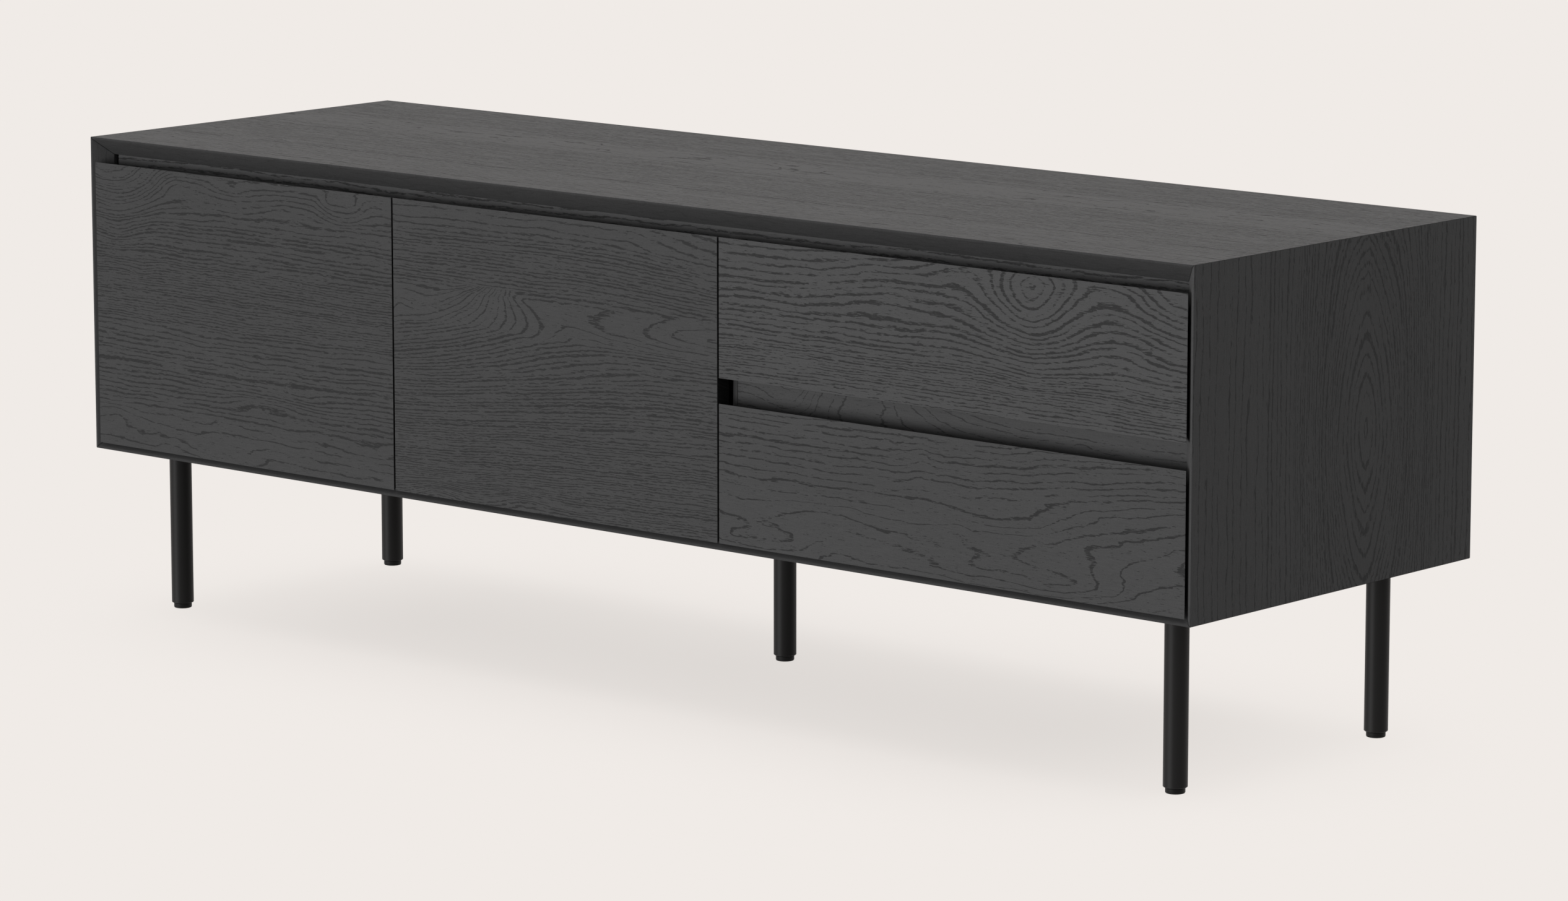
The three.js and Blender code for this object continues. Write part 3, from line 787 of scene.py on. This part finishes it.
def screws(name, places, axis, head, material, carrier, slot=None):
    """Screw heads at several places in a node, all facing along `axis`, as one piece."""
    pattern = bpy.data.meshes.new(name + "_head")
    single = screw_head(*head)
    single.to_mesh(pattern)
    single.free()
    mesh = bmesh.new()
    for place in places:
        before = len(mesh.verts)
        mesh.from_mesh(pattern)
        mesh.verts.ensure_lookup_table()
        placed(mesh, place, axis, mesh.verts[before:])
    bpy.data.meshes.remove(pattern)
    settled(name, mesh, material, body_of(carrier), slot or slot_of(carrier))


def emboss(mesh, depth):
    """Presses the web of a slide member by `depth` along X."""
    flat = [face for face in mesh.faces if abs(face.normal.x) > 0.99]
    webs = sorted(flat, key=lambda face: face.calc_area())[-2:]
    for face in webs:
        heights = [vert.co.z for vert in face.verts]
        edge = (max(heights) - min(heights)) / 2 - WEB_REACH
        for thickness in (edge, abs(depth) * WEB_SLOPE):
            bmesh.ops.inset_region(mesh, faces=[face], thickness=thickness, use_even_offset=True)
        bmesh.ops.translate(mesh, vec=(depth, 0, 0), verts=face.verts)


def release_lever(place):
    """A flat plastic lever that starts at a place, and narrows and rises to the back."""
    mesh = bmesh.new()
    length = LEVER_SIZE[1]
    size = Matrix.Diagonal((*LEVER_SIZE, 1))
    bmesh.ops.create_cube(mesh, size=1.0, matrix=Matrix.Translation((0, length / 2, 0)) @ size)
    lengthwise = [edge for edge in mesh.edges
                  if abs(edge.verts[0].co.y - edge.verts[1].co.y) > length / 2]
    bmesh.ops.subdivide_edges(mesh, edges=lengthwise, cuts=2)
    for vert in mesh.verts:
        back = vert.co.y / length
        vert.co.z *= 1.0 - LEVER_NARROWING * back
        vert.co.z += LEVER_RISE * back * back
    ease(mesh, LEVER_EDGE, segments=3, least=30)
    bmesh.ops.translate(mesh, vec=place, verts=mesh.verts)
    return mesh


# ---------------------------------------------------------------- pieces

def veneer(nodes, ending, width, least=20):
    """Gives each node an eased copy in oak, with the look written beside it."""
    for i, (node, look) in enumerate(nodes.items()):
        material = oak(node, 7.0 * i + len(node), **look)
        mesh = merged_copy(node)
        ease(mesh, width, least=least)
        finished(node, f"{node}_{ending}", mesh, material)


class SIDEBOARD_OT_case(Operator):
    """Veneer the four mitred boards of the case"""

    bl_idname = "sideboard.case"
    bl_label = "Case boards"

    def execute(self, context):
        # the edges and bevels of the flat case boards are darkened to 0.7 of their tone, a painted shade
        flat = dict(along={"X": 1.0}, across={"Y": 1.0, "Z": 0.4}, face="Z", painted_edge_shade=0.7)
        upright = dict(
            along={"Z": 1.0}, across={"Y": 1.0, "X": 0.4}, face="X", flow=0.5, line=1.8, contrast=0.60,
            crown=dict(u0=152, v0=283, slope=0.30, power=1.5, crest=2.0, reach=75.0),
            bands=((-FAR, 6.5), (45, 3.4), (115, 7.0), (160, 11.0)))
        veneer({
            "top_panel": dict(
                flat, flow=1.7, line=1.4, contrast=0.95, tone=0.97,
                crown=dict(u0=0, v0=294, slope=0.0, power=2.0, crest=12.0, reach=FAR),
                bands=((-FAR, 9.0), (40, 4.2), (200, 6.0))),
            "bottom_panel": dict(flat, bands=((-FAR, 9.0),)),
            "left_side_panel": upright,
            "right_side_panel": upright,
        }, "veneered", context.scene.sideboard_oak.edge)
        return {"FINISHED"}


class SIDEBOARD_OT_interior(Operator):
    """Veneer the partition, rails, shelf and back"""

    bl_idname = "sideboard.interior"
    bl_label = "Rails and inner boards"

    def execute(self, context):
        level = dict(along={"X": 1.0}, across={"Z": 1.0, "Y": 0.8})
        veneer({
            "top_rail": dict(level, bands=((-FAR, 6.0),), sway=14.0, line=2.6, tone=1.32),
            "drawer_rail": dict(
                level, bands=((-FAR, 10.0),), contrast=0.75, line=1.2, tone=1.13,
                figures=((1075, 205, 80, 60, -11, 1.2), (990, 175, 40, 40, 4, 1.4))),
            "partition": dict(along={"Z": 1.0}, across={"Y": 1.0, "X": 0.8}, tone=0.95),
            "shelf": dict(along={"X": 1.0}, across={"Y": 1.0, "Z": 1.0}, face="Z", tone=0.95),
            "back_panel": dict(level, bands=((-FAR, 10.0),), tone=0.85, sway=25.0),
        }, "veneered", context.scene.sideboard_oak.edge)
        return {"FINISHED"}


class SIDEBOARD_OT_fronts(Operator):
    """Veneer the doors and the drawer fronts, each with its own figure"""

    bl_idname = "sideboard.fronts"
    bl_label = "Doors and drawer fronts"

    def execute(self, context):
        # the edges and bevels of the doors and drawer fronts are darkened to 0.2 of their tone, a painted
        # shade for the shade in the gaps and the grip recess
        front = dict(along={"X": 1.0}, across={"Z": 1.0, "Y": 0.4}, face="Y", painted_edge_shade=0.2)
        veneer({
            "left_door": dict(
                front, contrast=0.80, flow=0.9,
                bands=((-FAR, 11.0), (52, 5.2), (150, 2.8), (216, 4.6), (262, 7.0)),
                figures=(
                    (36, 322, 64, 62, 8.0, 2.6), (10, 304, 40, 12, 1.4, 2.0),
                    (42, 241, 26, 13, 1.6, 2.0), (78, 203, 22, 9, 1.4, 2.0),
                    (384, 297, 34, 17, 2.2, 4.0), (128, 301, 30, 12, -1.6, 2.0),
                    (216, 302, 30, 9, 1.5, 2.0), (300, 290, 40, 12, -1.2, 2.0),
                    (262, 76, 60, 9, -1.6, 2.0), (330, 88, 40, 9, 1.2, 2.0),
                    (195, 14, 48, 9, 1.4, 2.0), (30, 40, 34, 12, -1.0, 2.0),
                    (420, 40, 50, 14, 0.9, 2.0))),
            "middle_door": dict(
                front, contrast=0.80, flow=0.7, tone=1.02,
                bands=((-FAR, 2.6), (92, 3.2), (152, 4.6), (189, 14.0), (226, 3.6), (290, 8.0)),
                fan=dict(u0=594, v0=234, depth=42, start=42, end=165, lines=15.0),
                figures=(
                    (925, 206, 200, 18, 4.6, 2.0), (470, 206, 20, 13, -1.4, 1.5),
                    (722, 194, 36, 11, -0.45, 2.0), (960, 270, 130, 50, 4.0, 2.0),
                    (520, 12, 34, 13, -4.0, 2.0), (640, 18, 44, 11, -3.0, 2.0))),
            "upper_drawer_front": dict(
                front, line=2.6, tone=1.19,
                bands=((-FAR, 4.0), (188, 2.8), (216, 5.0), (245, 7.0), (288, 9.5)),
                knot=dict(u0=1308, v0=305, slope=0.72, power=1.6, reach=80),
                figures=(
                    (1308, 286, 100, 64, 3.4, 1.3), (1110, 282, 70, 34, -1.6, 2.0),
                    (1410, 262, 56, 34, -1.6, 2.0), (1480, 300, 40, 20, 1.4, 2.0))),
            "lower_drawer_front": dict(
                front, contrast=0.92, flow=0.9, line=1.6, sway=9.0, tone=1.05,
                bands=((-FAR, 14.0), (70, 9.0), (104, 6.5)),
                figures=(
                    (960, 18, 70, 16, 2.0, 2.0), (1330, 22, 120, 18, 2.2, 2.0),
                    (1560, 110, 210, 110, -5.0, 2.0), (1172, 124, 12, 14, -0.9, 1.4),
                    (1217, 50, 12, 14, -0.9, 1.4), (1275, 74, 60, 14, 1.3, 2.0),
                    (1060, 45, 60, 20, -1.0, 2.0))),
        }, "veneered", context.scene.sideboard_oak.edge, least=25)
        return {"FINISHED"}


class SIDEBOARD_OT_drawer_boxes(Operator):
    """Finish the boards of the drawer boxes"""

    bl_idname = "sideboard.drawer_boxes"
    bl_label = "Drawer boxes"

    def execute(self, context):
        side = dict(along={"Y": 1.0}, across={"Z": 1.0, "X": 0.8}, tone=0.9)
        looks = {
            "left_side": side,
            "right_side": side,
            "back": dict(along={"X": 1.0}, across={"Z": 1.0, "Y": 0.8}, tone=0.9),
            "bottom": dict(along={"X": 1.0}, across={"Y": 1.0, "Z": 0.8}, tone=0.9, sway=20.0),
        }
        for drawer in DRAWERS:
            nodes = {f"{drawer}_{part}": look for part, look in looks.items()}
            veneer(nodes, "lacquered", 2 * context.scene.sideboard_oak.edge)
        return {"FINISHED"}


class SIDEBOARD_OT_legs(Operator):
    """Turn the tube legs and their levelling feet"""

    bl_idname = "sideboard.legs"
    bl_label = "Legs and feet"

    def execute(self, context):
        look = context.scene.sideboard_fittings
        steel = powder_coat("Black powder coat", look.powder, look.gloss)
        plastic = moulded("Black plastic", look.foot, look.gloss, 0.5)
        for leg in LEGS:
            for part, ending, outline, material in (("leg", "tube", leg_outline, steel),
                                                    ("foot", "glide", foot_outline, plastic)):
                node = f"{leg}_{part}"
                low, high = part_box(node)
                top = CASE_LOW.z - LEG_GAP if part == "leg" else high.z
                mesh = turned(outline((high.x - low.x) / 2, low.z, top), look.round_sides)
                placed(mesh, ((low.x + high.x) / 2, (low.y + high.y) / 2, 0), UP)
                finished(node, f"{leg}_{ending}", mesh, material, smooth=True)
        return {"FINISHED"}


class SIDEBOARD_OT_hinges(Operator):
    """Plate the concealed hinges and drive their screws"""

    bl_idname = "sideboard.hinges"
    bl_label = "Hinges"

    def execute(self, context):
        nickel = plated("Nickel plate", context.scene.sideboard_fittings.nickel, 0.30, (0.3, 0.3, 2.5))
        for door, into in DOORS.items():
            for level in ("lower", "upper"):
                hinge = f"{door}_{level}_hinge"
                for part in ("arm", "arm_link", "cup_link"):
                    node = f"{hinge}_{part}"
                    mesh = merged_copy(node)
                    ease(mesh, HINGE_EDGE, least=30, corners=False)
                    finished(node, node + "_plated", mesh, nickel, smooth=True)

                cup = hinge + "_cup"
                low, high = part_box(cup)
                middle = (low + high) / 2
                finished(cup, cup + "_pressed", hinge_cup(low, high, into), nickel, smooth=True)
                wings = [(middle.x, high.y, middle.z + side * WING_SCREW) for side in (-1, 1)]
                screws(hinge + "_wing_screws", wings, BACKWARDS, WING_HEAD, nickel, cup)

                arm = hinge + "_arm"
                low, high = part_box(arm)
                board, block = (low.x, high.x) if into > 0 else (high.x, low.x)
                along, apart = PLATE_SCREWS
                y = CASE_LOW.y + along
                plate = [(board + into * PLATE_THICK, y, middle.z + side * apart) for side in (-1, 1)]
                screws(hinge + "_plate_screws", plate, (into, 0, 0), PLATE_HEAD, nickel, arm)
                adjusters = [(block, y + along, middle.z) for along in ADJUSTERS]
                screws(hinge + "_adjusting_screws", adjusters, (into, 0, 0), ADJUSTER_HEAD, nickel, arm)
        return {"FINISHED"}


class SIDEBOARD_OT_slides(Operator):
    """Press and plate the drawer slides, with their screws and release levers"""

    bl_idname = "sideboard.slides"
    bl_label = "Drawer slides"

    def execute(self, context):
        look = context.scene.sideboard_fittings
        zinc = plated("Zinc plate", look.zinc, 0.36, (1.5, 0.02, 1.5))
        plastic = moulded("Black lever", look.lever, look.gloss, 0.45)
        for drawer in DRAWERS:
            for side, out in SIDES.items():
                slide = f"{drawer}_{side}_slide"
                for member, way in WEB_WAYS.items():
                    node = f"{slide}_{member}_member"
                    mesh = merged_copy(node)
                    ease(mesh, SLIDE_EDGE, least=30)
                    if way:
                        emboss(mesh, way * out * WEB_DEPTH)
                    finished(node, node + "_pressed", mesh, zinc)

                inner = slide + "_inner_member"
                low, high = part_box(inner)
                web = (low.x if out > 0 else high.x) + out * (SLIDE_STEEL + WEB_DEPTH)
                middle = (low.z + high.z) / 2
                places = [(web, low.y + along, middle) for along in SLIDE_SCREWS]
                screws(inner + "_screws", places, (out, 0, 0), SLIDE_HEAD, zinc, inner)
                lever = release_lever((web + out * LEVER_OFF, low.y + LEVER_START, middle))
                settled(slide + "_release_lever", lever, plastic, body_of(inner), "foot_plastic")
        return {"FINISHED"}


class SIDEBOARD_OT_fixings(Operator):
    """Pin the shelf and screw the back panel down"""

    bl_idname = "sideboard.fixings"
    bl_label = "Shelf pins and back screws"

    def execute(self, context):
        look = context.scene.sideboard_fittings
        nickel = plated("Nickel pins", look.nickel, 0.28, (2.0, 2.0, 0.3))
        black = plated("Blackened steel", look.blackened, 0.42, (1.0, 1.0, 1.0))
        outline = [(radius * MM, height * MM) for radius, height in PIN_OUTLINE]
        low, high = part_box("shelf")
        for side, x, into in (("left", low.x, 1), ("right", high.x, -1)):
            for end, y in (("front", low.y + SHELF_PIN), ("rear", high.y - SHELF_PIN)):
                mesh = placed(turned(outline, SMALL_SIDES), (x, y, low.z - PIN_DROP), (into, 0, 0))
                settled(f"shelf_{side}_{end}_pin", mesh, nickel, "case", "hinge_nickel", smooth=True)

        low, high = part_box("back_panel")
        first = low.x + EDGE_SCREW
        spread = high.x - low.x - 2 * EDGE_SCREW
        columns = [first + spread * i / (BACK_COLUMNS - 1) for i in range(BACK_COLUMNS)]
        places = [(x, high.y, z) for x in columns for z in (low.z + EDGE_SCREW, high.z - EDGE_SCREW)]
        places += [(x, high.y, (low.z + high.z) / 2) for x in (columns[0], columns[-1])]
        screws("back_panel_screws", places, BACKWARDS, BACK_HEAD, black, "back_panel", "hinge_nickel")
        return {"FINISHED"}


# ---------------------------------------------------------------- stage

def studio_floor(look):
    """A pale floor that is seen as the background and keeps the shadow round the case."""
    material = bpy.data.materials.new("Pale floor")
    material.use_nodes = True
    material.node_tree.nodes.clear()
    nodes = Nodes(material.node_tree)
    place = nodes.axes()
    beside = (abs(place["X"]) * MM - SHADOW_HALF).at_least(0.0)
    behind = place["Y"] * MM + SHADOW_AHEAD
    away = (beside * beside + behind * behind) ** 0.5
    share = (1.0 - away.smooth(0.0, look.shadow_reach)) * look.shade
    level = (1.0 - share * look.floor_level) / (1.0 - share)
    paper = rgba(look.paper)
    glow = nodes.shader("ShaderNodeEmission", Color=paper, Strength=level)
    lit = nodes.shader("ShaderNodeBsdfDiffuse", Color=paper)
    bounce = nodes.shader("ShaderNodeBsdfDiffuse", Color=rgba(FLOOR_BOUNCE))
    surface = nodes.mix_shader(nodes.seen(), bounce, nodes.mix_shader(share, glow, lit))
    nodes.node("ShaderNodeOutputMaterial", {}, {"Surface": surface})
    return material


def studio_world(look):
    """An even sky for the light, and the background colour for what is seen."""
    world = bpy.data.worlds.new("Studio")
    bpy.context.scene.world = world
    world.use_nodes = True
    world.node_tree.nodes.clear()
    nodes = Nodes(world.node_tree)
    sky = nodes.shader("ShaderNodeBackground", Color=rgba((1.0, 1.0, 1.0)), Strength=look.ambient)
    paper = nodes.shader("ShaderNodeBackground", Color=rgba(look.paper), Strength=1.0)
    surface = nodes.mix_shader(nodes.seen(), sky, paper)
    nodes.node("ShaderNodeOutputWorld", {}, {"Surface": surface})


def distant_lamp(name, side, height, spread, level):
    """A soft distant lamp: `side` is its angle from the front towards the left, `height` its angle
    above the floor, and a white board that faces it renders at `level`."""
    lamp = bpy.data.lights.new(name, "SUN")
    lamp.angle = spread
    lamp.energy = level * math.pi
    holder = added(name, lamp)
    towards = Vector((-math.sin(side) * math.cos(height), -math.cos(side) * math.cos(height),
                      math.sin(height)))
    holder.rotation_mode = "QUATERNION"
    holder.rotation_quaternion = towards.to_track_quat("Z", "Y")
    return holder


def studio_camera(look):
    """A camera without depth of field or shift."""
    camera = bpy.data.cameras.new("camera")
    camera.sensor_width = 36.0
    camera.lens = look.lens
    camera.clip_end = 200.0
    camera.dof.use_dof = False
    holder = added("camera", camera)
    holder.location = look.camera
    holder.rotation_euler = (math.pi / 2 - look.pitch, 0.0, look.yaw)
    return holder


class SIDEBOARD_OT_stage(Operator):
    """Set the floor, the lamps and the camera"""

    bl_idname = "sideboard.stage"
    bl_label = "Studio"

    def execute(self, context):
        look = context.scene.sideboard_studio
        mesh = bmesh.new()
        bmesh.ops.create_grid(mesh, x_segments=1, y_segments=1, size=FLOOR_HALF)
        floor = shown("floor", mesh, studio_floor(look))
        studio_world(look)
        without_floor = bpy.data.collections.new("beyond the slanting lamps")
        without_floor.objects.link(floor)
        without_floor.collection_objects[0].light_linking.link_state = "EXCLUDE"
        for name, angles in LAMPS.items():
            lamp = distant_lamp(name, *map(math.radians, angles), getattr(look, name))
            if name in SLANTING:
                lamp.light_linking.receiver_collection = without_floor
                lamp.light_linking.blocker_collection = without_floor
        context.scene.camera = studio_camera(look)
        context.scene.view_settings.view_transform = "Standard"
        return {"FINISHED"}


class SIDEBOARD_PT_panel(Panel):
    """Sideboard pieces and settings"""

    bl_idname = "SIDEBOARD_PT_panel"
    bl_label = "Black oak sideboard"
    bl_space_type = "VIEW_3D"
    bl_region_type = "UI"
    bl_category = "Sideboard"

    def draw(self, context):
        column = self.layout.column()
        for step in STEPS:
            column.operator(step.bl_idname)
        for group in SETTINGS:
            settings = getattr(context.scene, group)
            for name in settings.__annotations__:
                column.prop(settings, name)


STEPS = (
    SIDEBOARD_OT_case,
    SIDEBOARD_OT_interior,
    SIDEBOARD_OT_fronts,
    SIDEBOARD_OT_drawer_boxes,
    SIDEBOARD_OT_legs,
    SIDEBOARD_OT_hinges,
    SIDEBOARD_OT_slides,
    SIDEBOARD_OT_fixings,
    SIDEBOARD_OT_stage,
)
SETTINGS = {
    "sideboard_oak": OakSettings,
    "sideboard_fittings": FittingSettings,
    "sideboard_studio": StudioSettings,
}


def register():
    for kind in (*SETTINGS.values(), *STEPS, SIDEBOARD_PT_panel):
        bpy.utils.register_class(kind)
    for name, kind in SETTINGS.items():
        setattr(bpy.types.Scene, name, PointerProperty(type=kind))


def unregister():
    for name in SETTINGS:
        delattr(bpy.types.Scene, name)
    for kind in (SIDEBOARD_PT_panel, *reversed(STEPS), *reversed(SETTINGS.values())):
        bpy.utils.unregister_class(kind)


def main():
    register()
    for step in STEPS:
        area, name = step.bl_idname.split(".")
        getattr(getattr(bpy.ops, area), name)()


if __name__ == "__main__":
    main()
